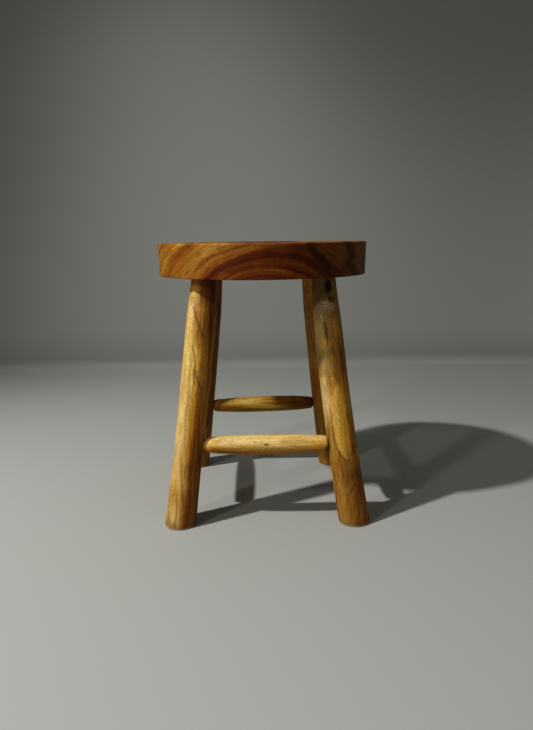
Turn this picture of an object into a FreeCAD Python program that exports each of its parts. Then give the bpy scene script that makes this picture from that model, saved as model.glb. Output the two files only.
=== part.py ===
"""Four-legged wooden milking stool: a round slab seat, splayed legs wedged through it, and four stretchers.

Frame: millimetres, +Z up, origin on the floor under the middle of the seat, front towards -Y.
"""
import FreeCAD, Part
import math
import os

import Sketcher

Vector = FreeCAD.Vector

# ---------------------------------------------------------------- driving dimensions

SIZES = {
    # seat: a round slab, a little narrower at its underside
    "seat_diameter": 300,
    "seat_underside_diameter": 295.5,
    "seat_thickness": 45.7,
    "seat_arris": 2,
    "stool_height": 379.7,
    # legs: drawn down from thick feet to a neck that meets the seat
    "socket_circle_radius": 114.5,
    "splay_angle": 9.5,
    "leg_foot_diameter": 43.5,
    "leg_shoulder_diameter": 39,
    "leg_shoulder_drop": 62,
    "leg_neck_diameter": 33,
    "foot_chamfer": 1.5,
    "tenon_diameter": 28,
    # wedges: driven into a kerf across each tenon, across the seat's grain
    "wedge_thickness": 4,
    "wedge_tip_thickness": 1,
    "wedge_depth": 30,
    # stretchers: fat in the middle, rounded to a nose, with a thin tenon at each end
    "stretcher_height": 108.5,
    "stretcher_diameter": 27.4,
    "stretcher_nose_diameter": 23.4,
    "stretcher_nose_length": 15,
    "stretcher_nose_round": 20,
    "stretcher_tenon_diameter": 12,
    "stretcher_tenon_show": 1.5,
    "long_mortise_depth": 21,
    "short_mortise_depth": 14.5,
}

LEG_ANGLES = {"back_right": 45, "back_left": 135, "front_left": 225, "front_right": 315}
STRETCHER_ANGLES = {"front": 0, "right": 90, "back": 180, "left": 270}
DIAGONAL = 45  # degrees between a side of the stool and the radius that a leg leans along
SPARE = 10  # how far a shape runs past the plane that trims it
THROUGH = 120  # a cut this long passes right through a leg
PARTS_DIR = "parts"
VOLUME_TOLERANCE = 1.0
LEVEL_TOLERANCE = 1e-3


class Size:
    """A number together with the spreadsheet formula that gives it."""

    def __init__(self, value, formula):
        self.value = value
        self.formula = formula

    def __add__(self, other):
        other = as_size(other)
        return Size(self.value + other.value, f"({self.formula} + {other.formula})")

    def __sub__(self, other):
        other = as_size(other)
        return Size(self.value - other.value, f"({self.formula} - {other.formula})")

    def __mul__(self, other):
        other = as_size(other)
        return Size(self.value * other.value, f"({self.formula} * {other.formula})")

    def __truediv__(self, other):
        other = as_size(other)
        return Size(self.value / other.value, f"({self.formula} / {other.formula})")

    def __neg__(self):
        return self * -1


def as_size(number):
    return number if isinstance(number, Size) else Size(number, f"{number:.10g}")


def tan(angle):
    return Size(math.tan(math.radians(angle.value)), f"tan({angle.formula})")


def cos(angle):
    return Size(math.cos(math.radians(angle.value)), f"cos({angle.formula})")


def bind(target, path, size):
    target.setExpression(path, as_size(size).formula)


def make_sheet(doc):
    """The spreadsheet of driving dimensions, and a Size for each of its aliases."""
    sheet = doc.addObject("Spreadsheet::Sheet", "Sizes")
    for row, (alias, number) in enumerate(SIZES.items(), start=1):
        sheet.set(f"A{row}", alias.replace("_", " "))
        sheet.set(f"B{row}", str(number))
        sheet.setAlias(f"B{row}", alias)
    doc.recompute()
    return {alias: Size(float(number), f"Sizes.{alias}") for alias, number in SIZES.items()}


doc = FreeCAD.newDocument("MilkingStool")
size = make_sheet(doc)

# ---------------------------------------------------------------- places worked out from the dimensions

seat_top = size["stool_height"]
seat_underside = size["stool_height"] - size["seat_thickness"]
splay = tan(size["splay_angle"])
foot_circle_radius = size["socket_circle_radius"] + seat_underside * splay
leg_length = seat_underside / cos(size["splay_angle"])
stretcher_circle_radius = foot_circle_radius - size["stretcher_height"] * splay
stretcher_offset = stretcher_circle_radius * math.sqrt(0.5)
shoulder_reach = leg_length - size["leg_shoulder_drop"]
leg_taper = (size["leg_foot_diameter"] - size["leg_shoulder_diameter"]) / shoulder_reach
leg_radius_at_stretcher = (size["leg_foot_diameter"] - leg_taper * size["stretcher_height"]) / 2

# ---------------------------------------------------------------- sketch and feature helpers


def new_body(name, turn):
    """An empty body whose own X axis is turned by this many degrees about the stool's upright axis."""
    body = doc.addObject("PartDesign::Body", name)
    body.Label = name
    body.Placement = FreeCAD.Placement(Vector(), FreeCAD.Rotation(Vector(0, 0, 1), turn))
    return body


def new_sketch(body, name, role, axis=Vector(0, 0, 1), turn=0, base=(0, 0, 0)):
    """A sketch on one of the body's origin planes, moved and turned in that plane's own axes."""
    sketch = body.newObject("Sketcher::SketchObject", f"{body.Name}_{name}")
    plane = next(item for item in body.Origin.OriginFeatures if item.Role == role)
    sketch.AttachmentSupport = [(plane, "")]
    sketch.MapMode = "FlatFace"
    turn = as_size(turn)
    places = [as_size(item) for item in base]
    rotation = FreeCAD.Rotation(axis, turn.value)
    sketch.AttachmentOffset = FreeCAD.Placement(Vector(*[item.value for item in places]), rotation)
    for letter, item in zip("xyz", places):
        bind(sketch, f"AttachmentOffset.Base.{letter}", item)
    bind(sketch, "AttachmentOffset.Rotation.Angle", turn)
    return sketch


def leaning_sketch(body, name):
    """A sketch whose Y axis is a leg's axis, with its origin where that axis meets the floor."""
    return new_sketch(body, name, "XZ_Plane", turn=size["splay_angle"], base=(foot_circle_radius, 0, 0))


def upright_sketch(body, name, heading, base):
    """A sketch on an upright plane that faces the heading, in degrees from the body's X axis."""
    return new_sketch(body, name, "YZ_Plane", axis=Vector(0, 1, 0), turn=heading, base=base)


def round_side(start, end, radius):
    """The arc from start to end, anticlockwise about its centre."""
    chord = end - start
    half = chord.Length / 2
    inward = Vector(-chord.y, chord.x, 0).normalize()
    centre = (start + end) / 2 + inward * math.sqrt(radius**2 - half**2)
    circle = Part.Circle(centre, Vector(0, 0, 1), radius)
    first, last = [math.atan2(point.y - centre.y, point.x - centre.x) for point in (start, end)]
    return Part.ArcOfCircle(circle, first, last)


def draw_outline(sketch, corners, rounds=None):
    """A closed outline through the corners, anticlockwise.

    rounds gives the radius of each curved side by the number of the corner it starts from.
    """
    rounds = rounds or {}
    first = sketch.GeometryCount
    corners = [(as_size(x), as_size(y)) for x, y in corners]
    points = [Vector(x.value, y.value, 0) for x, y in corners]
    for number, start in enumerate(points):
        end = points[(number + 1) % len(points)]
        if number in rounds:
            sketch.addGeometry(round_side(start, end, rounds[number].value), False)
        else:
            sketch.addGeometry(Part.LineSegment(start, end), False)
    for number, corner in enumerate(corners):
        side = first + number
        before = first + (number - 1) % len(corners)
        sketch.addConstraint(Sketcher.Constraint("Coincident", before, 2, side, 1))
        for kind, place, zero_axis in zip(("DistanceX", "DistanceY"), corner, (-2, -1)):
            if place.value == 0:
                sketch.addConstraint(Sketcher.Constraint("PointOnObject", side, 1, zero_axis))
            else:
                rule = sketch.addConstraint(Sketcher.Constraint(kind, -1, 1, side, 1, place.value))
                bind(sketch, f"Constraints[{rule}]", place)
        if number in rounds:
            rule = sketch.addConstraint(Sketcher.Constraint("Radius", side, rounds[number].value))
            bind(sketch, f"Constraints[{rule}]", rounds[number])


def draw_circle(sketch, diameter):
    """A circle about the sketch's origin."""
    circle = sketch.addGeometry(Part.Circle(Vector(), Vector(0, 0, 1), diameter.value / 2), False)
    sketch.addConstraint(Sketcher.Constraint("Coincident", circle, 3, -1, 1))
    rule = sketch.addConstraint(Sketcher.Constraint("Diameter", circle, diameter.value))
    bind(sketch, f"Constraints[{rule}]", diameter)


def add_feature(body, kind, name, sketch, **settings):
    feature = body.newObject(f"PartDesign::{kind}", f"{body.Name}_{name}")
    feature.Profile = sketch
    for key, setting in settings.items():
        setattr(feature, key, setting)
    doc.recompute()
    return feature


def turn_solid(body, kind, name, sketch, axis="V_Axis"):
    """A full turn of the sketch about one of its own axes: a Revolution adds it, a Groove cuts it."""
    return add_feature(body, kind, name, sketch, ReferenceAxis=(sketch, [axis]), Angle=360)


def cut_volume(before, after):
    """Stop if a cut took nothing away."""
    if after.Shape.Volume > before.Shape.Volume - VOLUME_TOLERANCE:
        raise RuntimeError(f"{after.Name} cuts nothing")
    return after


def trim_level(body, name, height, keep_above):
    """Cut away everything on one side of the level plane at this height, round the leg."""
    before = body.Tip
    sketch = new_sketch(body, f"{name}_outline", "XY_Plane", base=(0, 0, height))
    margin = size["leg_foot_diameter"] * 2
    near = size["socket_circle_radius"] - margin
    far = foot_circle_radius + margin
    draw_outline(sketch, [(near, -margin), (far, -margin), (far, margin), (near, margin)])
    pocket = add_feature(body, "Pocket", name, sketch, Length=THROUGH, Reversed=not keep_above)
    return cut_volume(before, pocket)


# ---------------------------------------------------------------- shapes that two pieces share


def turn_tenon(body, kind, name):
    """The leg's round tenon, or its socket, running past both faces of the seat."""
    sketch = leaning_sketch(body, f"{name}_outline")
    radius = size["tenon_diameter"] / 2
    low = leg_length - SPARE * 2
    high = leg_length + size["seat_thickness"] + SPARE * 2
    draw_outline(sketch, [(0, low), (radius, low), (radius, high), (0, high)])
    return turn_solid(body, kind, name, sketch)


def kerf_sketch(body, name, hand):
    """A sketch across the kerf, with its origin where the leg's axis meets the seat's top.

    hand is 1 or -1, for the side of the body's X axis that the kerf's length is turned to.
    """
    radius = size["socket_circle_radius"] - size["seat_thickness"] * splay
    return upright_sketch(body, name, -DIAGONAL * hand, (0, seat_top, radius))


def kerf_corners(hand):
    """The wedge's long taper, which leans as the tenon does."""
    drift = size["wedge_depth"] * splay * math.sqrt(0.5) * hand
    half = size["wedge_thickness"] / 2
    tip = size["wedge_tip_thickness"] / 2
    depth = -size["wedge_depth"]
    return [(drift - tip, depth), (drift + tip, depth), (half, 0), (-half, 0)]


# ---------------------------------------------------------------- seat


def make_seat():
    """A slab turned round, its arrises eased, with four leaning sockets bored right through."""
    body = new_body("seat", DIAGONAL)
    sketch = new_sketch(body, "section", "XZ_Plane")
    top_radius = size["seat_diameter"] / 2
    low_radius = size["seat_underside_diameter"] / 2
    low_corners = [(0, seat_underside), (low_radius, seat_underside)]
    draw_outline(sketch, low_corners + [(top_radius, seat_top), (0, seat_top)])
    slab = turn_solid(body, "Revolution", "slab", sketch)
    levels = (seat_underside.value, seat_top.value)
    rims = [
        f"Edge{number}"
        for number, edge in enumerate(slab.Shape.Edges, start=1)
        if edge.Closed and any(abs(edge.CenterOfMass.z - level) < LEVEL_TOLERANCE for level in levels)
    ]
    eased = body.newObject("PartDesign::Fillet", "seat_arrises")
    eased.Base = (slab, rims)
    bind(eased, "Radius", size["seat_arris"])
    doc.recompute()
    socket = turn_tenon(body, "Groove", "socket")
    cut_volume(eased, socket)
    ring = body.newObject("PartDesign::PolarPattern", "seat_sockets")
    ring.Originals = [socket]
    ring.Axis = (next(item for item in body.Origin.OriginFeatures if item.Role == "Z_Axis"), [""])
    ring.Angle = 360
    ring.Occurrences = len(LEG_ANGLES)
    body.Tip = ring
    doc.recompute()
    cut_volume(socket, ring)
    return body


# ---------------------------------------------------------------- legs and their wedges


def bore_mortise(body, name, heading, depth):
    """A blind round hole in the leg, level, for a stretcher that lies along the heading."""
    before = body.Tip
    inset = leg_radius_at_stretcher - depth
    angle = math.radians(heading)
    aside = inset * math.sin(angle)
    outward = stretcher_circle_radius + inset * math.cos(angle)
    sketch = upright_sketch(body, f"{name}_outline", heading, (aside, size["stretcher_height"], outward))
    draw_circle(sketch, size["stretcher_tenon_diameter"])
    reach = size["leg_foot_diameter"].value
    return cut_volume(before, add_feature(body, "Pocket", name, sketch, Length=reach, Reversed=True))


def make_leg(place, angle, hand):
    """A tapered leg trimmed level at the floor and at the seat, with its tenon, kerf and two mortises."""
    body = new_body(f"leg_{place}", angle)
    sketch = leaning_sketch(body, "shaft_outline")
    foot = size["leg_foot_diameter"] / 2
    shoulder = size["leg_shoulder_diameter"] / 2
    neck = size["leg_neck_diameter"] / 2
    neck_taper = (shoulder - neck) / size["leg_shoulder_drop"]
    shaft = [
        (0, -SPARE),
        (foot + leg_taper * SPARE / 2, -SPARE),
        (shoulder, shoulder_reach),
        (neck - neck_taper * SPARE, leg_length + SPARE),
        (0, leg_length + SPARE),
    ]
    draw_outline(sketch, shaft)
    turn_solid(body, "Revolution", "shaft", sketch)
    trim_level(body, "seat_trim", seat_underside, keep_above=False)
    floor_trim = trim_level(body, "floor_trim", 0, keep_above=True)
    sole = [
        f"Edge{number}"
        for number, edge in enumerate(floor_trim.Shape.Edges, start=1)
        if max(abs(edge.BoundBox.ZMin), abs(edge.BoundBox.ZMax)) < LEVEL_TOLERANCE
    ]
    chamfer = body.newObject("PartDesign::Chamfer", f"{body.Name}_foot_chamfer")
    chamfer.Base = (floor_trim, sole)
    bind(chamfer, "Size", size["foot_chamfer"])
    doc.recompute()
    cut_volume(floor_trim, chamfer)
    turn_tenon(body, "Revolution", "tenon")
    trim_level(body, "top_trim", seat_top, keep_above=False)
    before = body.Tip
    sketch = kerf_sketch(body, "kerf_outline", hand)
    draw_outline(sketch, kerf_corners(hand))
    cut_volume(before, add_feature(body, "Pocket", "kerf", sketch, Length=THROUGH, Midplane=True))
    bore_mortise(body, "long_mortise", 180 - DIAGONAL * hand, size["long_mortise_depth"])
    bore_mortise(body, "short_mortise", 180 + DIAGONAL * hand, size["short_mortise_depth"])
    return body


def make_wedge(place, angle, hand):
    """The tenon's own cylinder with all but the kerf's taper cut away, flush with the seat's top."""
    body = new_body(f"wedge_{place}", angle)
    reach = size["seat_thickness"] * 2
    plug = turn_tenon(body, "Revolution", "plug")
    sketch = kerf_sketch(body, "waste_outline", hand)
    draw_outline(sketch, [(-reach, -reach), (reach, -reach), (reach, reach), (-reach, reach)])
    draw_outline(sketch, kerf_corners(hand))
    cut_volume(plug, add_feature(body, "Pocket", "waste", sketch, Length=THROUGH, Midplane=True))
    return body


# ---------------------------------------------------------------- stretchers


def make_stretcher(place, angle, mortise_depth):
    """A spindle along the body's X axis: a long belly, a rounded nose and a thin tenon at each end."""
    body = new_body(f"stretcher_{place}", angle)
    sketch = new_sketch(body, "profile", "XZ_Plane", base=(0, size["stretcher_height"], stretcher_offset))
    tenon = size["stretcher_tenon_diameter"] / 2
    nose = size["stretcher_nose_diameter"] / 2
    end = stretcher_offset - leg_radius_at_stretcher + mortise_depth
    root = stretcher_offset - leg_radius_at_stretcher - size["stretcher_tenon_show"]
    belly = root - size["stretcher_nose_length"]
    rise = (size["stretcher_diameter"] - size["stretcher_nose_diameter"]) / 2
    belly_round = (belly * belly + rise * rise) / (rise * 2)
    right = [(end, 0), (end, tenon), (root, tenon), (belly, nose)]
    left = [(-x, y) for x, y in reversed(right)]
    rounds = {2: size["stretcher_nose_round"], 3: belly_round, 4: size["stretcher_nose_round"]}
    draw_outline(sketch, right + left, rounds)
    turn_solid(body, "Revolution", "spindle", sketch, axis="H_Axis")
    return body


# ---------------------------------------------------------------- the whole stool


def make_stool():
    pieces = [make_seat()]
    for place, angle in LEG_ANGLES.items():
        hand = 1 if angle % 180 == DIAGONAL else -1
        pieces.append(make_leg(place, angle, hand))
        pieces.append(make_wedge(place, angle, hand))
    for place, angle in STRETCHER_ANGLES.items():
        depth = size["long_mortise_depth"] if angle % 180 == 0 else size["short_mortise_depth"]
        pieces.append(make_stretcher(place, angle, depth))
    return pieces


def check_document(pieces):
    """Stop if an object failed to build or a piece isn't one valid solid."""
    for item in doc.Objects:
        if "Invalid" in item.State or "Error" in item.State:
            raise RuntimeError(f"{item.Name} is {item.State}")
    for piece in pieces:
        shape = piece.Shape
        if shape.isNull() or not shape.isValid() or len(shape.Solids) != 1:
            raise RuntimeError(f"{piece.Label} isn't one valid solid")


pieces = make_stool()
doc.recompute()
check_document(pieces)
os.makedirs(PARTS_DIR, exist_ok=True)
for piece in pieces:
    piece.Shape.exportStep(os.path.join(PARTS_DIR, f"{piece.Label}.step"))
    print(f"{piece.Label}: {piece.Shape.Volume:.0f} mm3")
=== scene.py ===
"""The looks of a wooden milking stool: worn, hand-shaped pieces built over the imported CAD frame.

Metres, +Z up, the stool's front towards -Y. Marks in the wood and the materials work in millimetres on each
piece's own axes, where Z runs along the grain.
"""

import math
import random

import bpy
import bmesh
import numpy as np
from mathutils import Matrix, Vector, noise


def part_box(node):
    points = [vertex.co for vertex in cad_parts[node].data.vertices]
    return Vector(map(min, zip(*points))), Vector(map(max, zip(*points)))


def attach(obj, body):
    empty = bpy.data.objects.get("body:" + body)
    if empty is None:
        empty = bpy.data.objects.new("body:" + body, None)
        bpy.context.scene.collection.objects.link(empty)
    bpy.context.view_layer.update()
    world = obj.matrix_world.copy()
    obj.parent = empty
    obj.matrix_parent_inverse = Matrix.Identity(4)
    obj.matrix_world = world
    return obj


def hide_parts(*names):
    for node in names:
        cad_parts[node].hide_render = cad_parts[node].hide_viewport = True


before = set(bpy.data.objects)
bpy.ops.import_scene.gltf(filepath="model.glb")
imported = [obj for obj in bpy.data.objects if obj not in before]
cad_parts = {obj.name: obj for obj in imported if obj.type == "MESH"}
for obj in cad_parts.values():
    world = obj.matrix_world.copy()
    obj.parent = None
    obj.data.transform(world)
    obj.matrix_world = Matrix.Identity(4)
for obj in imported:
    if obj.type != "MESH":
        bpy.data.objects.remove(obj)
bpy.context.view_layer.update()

MM = 0.001
UP = Vector((0, 0, 1))
FRONT = Vector((0, -1, 0))
FULL_TURN = 2 * math.pi

# -------- places read from the frame


def middle(node):
    low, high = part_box(node)
    return (low + high) / 2


seat_low, seat_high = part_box("seat")
SEAT_TOP = seat_high.z
SEAT_UNDERSIDE = seat_low.z
SEAT_RADIUS = (seat_high.x - seat_low.x) / 2
STRETCHER_LEVEL = middle("stretcher_front").z
LEG_PLACES = {"front_left": (-1, -1), "front_right": (1, -1), "back_left": (-1, 1), "back_right": (1, 1)}


def leg_ends(place):
    """Where a leg's axis meets the floor, and its unit direction upwards."""
    side_x, side_y = LEG_PLACES[place]
    low = Vector((
        middle("stretcher_right" if side_x > 0 else "stretcher_left").x,
        middle("stretcher_back" if side_y > 0 else "stretcher_front").y,
        STRETCHER_LEVEL,
    ))
    high = middle(f"wedge_{place}")
    direction = (high - low).normalized()
    return low - direction * (low.z / direction.z), direction


# -------- sizes of the wood

TENON_RADIUS = 14 * MM
TENON_GAP = 0.18 * MM
WEDGE_DEPTH = SEAT_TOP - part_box("wedge_front_left")[0].z
WEDGE_HALF = 2 * MM
WEDGE_TIP_HALF = 0.5 * MM
WEDGE_PROUD = 0.25 * MM
TENON_PROUD = 0.12 * MM
WORN_DEPTH = 5 * MM
STRETCHER_TENON_RADIUS = 6 * MM
STRETCHER_TENON_GAP = 0.35 * MM
MORTISE_LENGTH = 40 * MM
KERF_GAP = 0.12 * MM
KERF_OVERHANG = 2 * MM
KERF_ABOVE = 1 * MM
WEDGE_INSET = 0.1 * MM
SEAT_RIM_TAPER = 1.5 * MM
SEAT_ARRIS = 2.0 * MM
SEAT_LOW_ARRIS = 0.8 * MM
SEAT_DISH = 1.1 * MM
FOOT_CHAMFER = 1.6 * MM
NECK_GAP = 0.25 * MM
SHARP_EDGE = math.radians(38)
BORE_FROM, BORE_TO = 0.8, 1.1

# how finely each piece is meshed: points round it, and the spacing of its rings
SEAT_SEGMENTS = 420
LEG_SEGMENTS = 120
WEDGE_SEGMENTS = 180
STRETCHER_SEGMENTS = 88
BORE_SEGMENTS = 96
MORTISE_SEGMENTS = 64
UNDERSIDE_SPACING = 4 * MM
RIM_SPACING = 1.5 * MM
TOP_SPACING = 2.5 * MM
LEG_SPACING = 1.6 * MM
TENON_SPACING = 3 * MM
WEDGE_SPACING = 2 * MM

# Unevenness of the worked surfaces. Each wave is (height in millimetres, feature size in millimetres, step in
# the seed, how much of the distance along the grain counts).
RIM_WAVES = [(0.5, 90, 0, 1), (0.16, 18, 2, 1)]
LEG_WAVES = [(0.34, 30, 0, 0.5), (0.10, 9, 1, 0.35)]
STRETCHER_WAVES = [(0.28, 20, 0, 0.5), (0.08, 7, 1, 0.4)]

# -------- mesh helpers


def axis_frame(origin, direction, facing):
    """Local Z runs along the piece's grain, and local -Y looks the way that facing says."""
    z_axis = direction.normalized()
    y_axis = (-facing - z_axis * -facing.dot(z_axis)).normalized()
    x_axis = y_axis.cross(z_axis)
    turn = Matrix((x_axis, y_axis, z_axis)).transposed().to_4x4()
    return Matrix.Translation(origin) @ turn


def wobble(x, y, z, size, seed):
    """Smooth noise from about -1 to 1 with features of this size."""
    return noise.noise(Vector((x / size + seed * 7.31, y / size - seed * 3.17, z / size + seed * 1.93)))


def uneven(x, y, along, seed, waves):
    total = 0
    for height, size, more, share in waves:
        total += height * MM * wobble(x, y, along * share, size * MM, seed + more)
    return total


def steps(start, end, spacing):
    """Values from just after start up to end, no further apart than spacing."""
    count = max(1, math.ceil(abs(end - start) / spacing))
    return [start + (end - start) * number / count for number in range(1, count + 1)]


def smooth(low, high, value):
    """0 below low, 1 above high, and a soft rise between."""
    share = min(max((value - low) / (high - low), 0), 1)
    return share * share * (3 - 2 * share)


def turn_from(heading, angle):
    """The signed turn from a heading in degrees to an angle in radians, between -pi and pi."""
    return (angle - math.radians(heading) + math.pi) % FULL_TURN - math.pi


def on_round(radius, angle):
    return radius * math.cos(angle), radius * math.sin(angle)


def round_point(radius, level, angle):
    """A place on a plain round about local Z."""
    return *on_round(radius, angle), level


def make_object(name, data, matrix):
    made = bpy.data.objects.new(name, data)
    bpy.context.scene.collection.objects.link(made)
    made.matrix_world = matrix
    return made


def make_mesh(name, shell):
    mesh = bpy.data.meshes.new(name)
    shell.to_mesh(mesh)
    shell.free()
    return mesh


def bridge(shell, lower, upper):
    """Faces all round between two rings of vertices, either of which may be a single pole."""
    count = max(len(lower), len(upper))
    for number in range(count):
        following = (number + 1) % count
        corners = [lower[number % len(lower)], lower[following % len(lower)]]
        corners += [upper[following % len(upper)], upper[number % len(upper)]]
        shell.faces.new(list(dict.fromkeys(corners)))


def skin(name, path, segments, point, matrix):
    """A closed skin of rings about local Z.

    path holds what point needs for each ring, from one pole to the other, and point(*step, angle) gives the
    local place.
    """
    shell = bmesh.new()
    rows = []
    for number, step in enumerate(path):
        count = segments if 0 < number < len(path) - 1 else 1
        rows.append([shell.verts.new(point(*step, FULL_TURN * part / count)) for part in range(count)])
    for lower, upper in zip(rows, rows[1:]):
        bridge(shell, lower, upper)
    bmesh.ops.recalc_face_normals(shell, faces=shell.faces)
    return make_object(name, make_mesh(name, shell), matrix)


def rod(name, radius, low, high, segments, matrix):
    """A plain closed rod along local Z."""
    return skin(name, [(0, low), (radius, low), (radius, high), (0, high)], segments, round_point, matrix)


def cut(piece, cutters):
    """Cut the closed cutters out of the piece for good, and remove them."""
    joined = bmesh.new()
    for cutter in cutters:
        cutter.data.transform(cutter.matrix_world)
        joined.from_mesh(cutter.data)
        bpy.data.objects.remove(cutter)
    tool = make_object("cutters", make_mesh("cutters", joined), Matrix.Identity(4))
    boolean = piece.modifiers.new("cut", "BOOLEAN")
    boolean.operation = "DIFFERENCE"
    boolean.solver = "EXACT"
    boolean.object = tool
    bpy.context.view_layer.update()
    depsgraph = bpy.context.evaluated_depsgraph_get()
    result = bpy.data.meshes.new_from_object(piece.evaluated_get(depsgraph))
    piece.modifiers.remove(boolean)
    piece.data = result
    bpy.data.objects.remove(tool)
    return piece


def dent_depth(dents, full, along, angle):
    """How deep the dents are at this place on a round of the full radius."""
    depth = 0
    for heading, height, half_width, half_height, deepest in dents:
        across = turn_from(heading, angle) * full / (half_width * MM)
        up = (along - height * MM) / (half_height * MM)
        depth += deepest * MM * math.exp(-across * across - up * up)
    return depth


def finish_piece(piece, material, slot, *nodes):
    """Smooth shading with crisp edges kept, a material, and the piece's place in the frame."""
    mesh = piece.data
    mesh.shade_smooth()
    mesh.set_sharp_from_angle(angle=SHARP_EDGE)
    mesh.materials.clear()
    mesh.materials.append(material)
    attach(piece, "root")
    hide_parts(*nodes)


def soft_least(values, softness):
    """The least of the values, rounded off where two are nearly equal."""
    least = min(values)
    return least - softness * math.log(sum(math.exp((least - value) / softness) for value in values))


class Facets:
    """The flats that a drawknife leaves along a rounded piece."""

    STRAY = 0.28
    SHALLOWEST = 0.4
    DRIFT = 0.12
    DRIFT_LENGTH = 110 * MM
    WAVE_LENGTH = 45 * MM
    WIDEST_COSINE = 0.5
    EDGE_SOFTNESS = 0.12 * MM

    def __init__(self, seed, count, depth):
        chance = random.Random(seed)
        self.seed = seed
        self.depth = depth
        step = FULL_TURN / count
        self.flats = []
        for number in range(count):
            heading = step * (number + chance.uniform(-self.STRAY, self.STRAY))
            self.flats.append((heading, chance.uniform(self.SHALLOWEST, 1)))

    def radius(self, full, along, angle):
        """The radius at this angle of a round of the full radius, with its flats cut."""
        reaches = [full]
        for number, (heading, share) in enumerate(self.flats):
            drift = self.DRIFT * noise.noise(Vector((along / self.DRIFT_LENGTH, self.seed, number)))
            turned = math.cos(angle - heading - drift)
            if turned > self.WIDEST_COSINE:
                wave = 0.6 + 0.5 * noise.noise(Vector((along / self.WAVE_LENGTH, number * 3.7, self.seed)))
                reaches.append((full - self.depth * share * wave) / turned)
        return soft_least(reaches, self.EDGE_SOFTNESS)


# -------- seat


def seat_top_level(x, y):
    """The level of the worn seat's top at a place inside its edge."""
    reach = min(math.hypot(x, y) / SEAT_RADIUS, 1)
    ripple = 0.22 * MM * wobble(x, y, 0, 0.05, 11) + 0.08 * MM * wobble(x * 3, y, 0, 0.02, 12)
    return SEAT_TOP - 0.3 * MM + ripple - SEAT_DISH * (1 - smooth(0.1, 0.95, reach))


def make_seat():
    """A slab with a worn, slightly dished top and an uneven shaved rim, bored for four tenons."""
    matrix = axis_frame(Vector((0, 0, 0)), Vector((0, 1, 0)), -UP)
    to_local = matrix.inverted()
    low_radius = SEAT_RADIUS - SEAT_RIM_TAPER
    facets = Facets(41, 34, 0.55 * MM)

    path = [(0, SEAT_UNDERSIDE, 0)]
    flat_radius = low_radius - SEAT_LOW_ARRIS
    path += [(radius, SEAT_UNDERSIDE, 0) for radius in steps(0, flat_radius, UNDERSIDE_SPACING)]
    for turn in steps(0, math.pi / 2, math.pi / 6):
        radius = flat_radius + SEAT_LOW_ARRIS * math.sin(turn)
        path.append((radius, SEAT_UNDERSIDE + SEAT_LOW_ARRIS * (1 - math.cos(turn)), 0))
    flank = (SEAT_UNDERSIDE + SEAT_LOW_ARRIS, SEAT_TOP - SEAT_ARRIS)
    for level in steps(*flank, RIM_SPACING):
        share = (level - flank[0]) / (flank[1] - flank[0])
        path.append((low_radius + SEAT_RIM_TAPER * share, level, 0))
    for turn in steps(0, math.pi / 2, math.pi / 10):
        radius = SEAT_RADIUS - SEAT_ARRIS * (1 - math.cos(turn))
        path.append((radius, SEAT_TOP - SEAT_ARRIS * (1 - math.sin(turn)), math.sin(turn)))
    path += [(radius, SEAT_TOP, 1) for radius in steps(SEAT_RADIUS - SEAT_ARRIS, 0, TOP_SPACING)]

    def point(radius, level, top, angle):
        edge = smooth(0.9, 1, radius / SEAT_RADIUS)
        x, y = on_round(radius, angle)
        shaved = facets.radius(SEAT_RADIUS, level * 0.4, angle) - SEAT_RADIUS
        radius += edge * (shaved + uneven(x, y, level, 3, RIM_WAVES))
        radius -= edge * dent_depth(SEAT_NICKS, SEAT_RADIUS, level, angle)
        worn = top * edge * (0.25 * MM + 0.45 * MM * abs(wobble(x, y, 0, 0.016, 9)))
        level += top * (seat_top_level(x, y) - SEAT_TOP) - worn
        return to_local @ Vector(round_point(radius, level, angle))

    seat = skin("seat_slab", path, SEAT_SEGMENTS, point, matrix)
    return cut(seat, [make_tenon_cutter(place) for place in LEG_PLACES])


# chips out of the rim: angle in degrees, then level, half width, half height and depth in millimetres
NICK_HIGH = SEAT_TOP / MM - 0.5
NICK_LOW = SEAT_UNDERSIDE / MM + 0.5
SEAT_NICKS = [
    (213.6, NICK_LOW, 2.2, 2.4, 1.3), (246, NICK_HIGH, 3.5, 1.6, 0.7), (301, NICK_LOW, 3.2, 1.8, 0.8),
    (28, NICK_HIGH, 5.0, 2.0, 0.9), (131, NICK_HIGH, 2.5, 2.2, 0.9), (77, NICK_LOW, 4.0, 2.4, 1.0),
]


def make_tenon_cutter(place):
    """The socket's bore, a hair wider than the tenon."""
    foot, direction = leg_ends(place)
    length = SEAT_TOP / direction.z
    matrix = axis_frame(foot, direction, FRONT)
    radius = TENON_RADIUS + TENON_GAP
    return rod("bore", radius, length * BORE_FROM, length * BORE_TO, BORE_SEGMENTS, matrix)


# -------- legs


class LegShape:
    """One leg's hand-made differences from the plain taper: its radii, how it bows, and its dents."""

    def __init__(self, seed, radii, foot, bow, neck, dents=()):
        self.seed = seed
        self.shares = [0, 0.3, 0.8, 1]
        self.radii = [radius * MM for radius in radii]
        self.foot = Vector(foot) * MM
        self.bow = Vector(bow) * MM
        self.neck = Vector(neck) * MM
        self.dents = dents
        self.facets = Facets(seed, 10, 0.75 * MM)

    def plain_radius(self, share):
        for low, high, first, last in zip(self.shares, self.shares[1:], self.radii, self.radii[1:]):
            if share <= high:
                return first + (last - first) * smooth_share((share - low) / (high - low))
        return self.radii[-1]

    def bend(self, share):
        """How far the leg's middle strays sideways from its straight axis."""
        return self.foot * (1 - share) + self.neck * share + self.bow * math.sin(math.pi * share)


def smooth_share(share):
    """A gentle ease in and out that keeps a taper looking straight."""
    share = min(max(share, 0), 1)
    return 0.65 * share + 0.35 * share * share * (3 - 2 * share)


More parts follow.
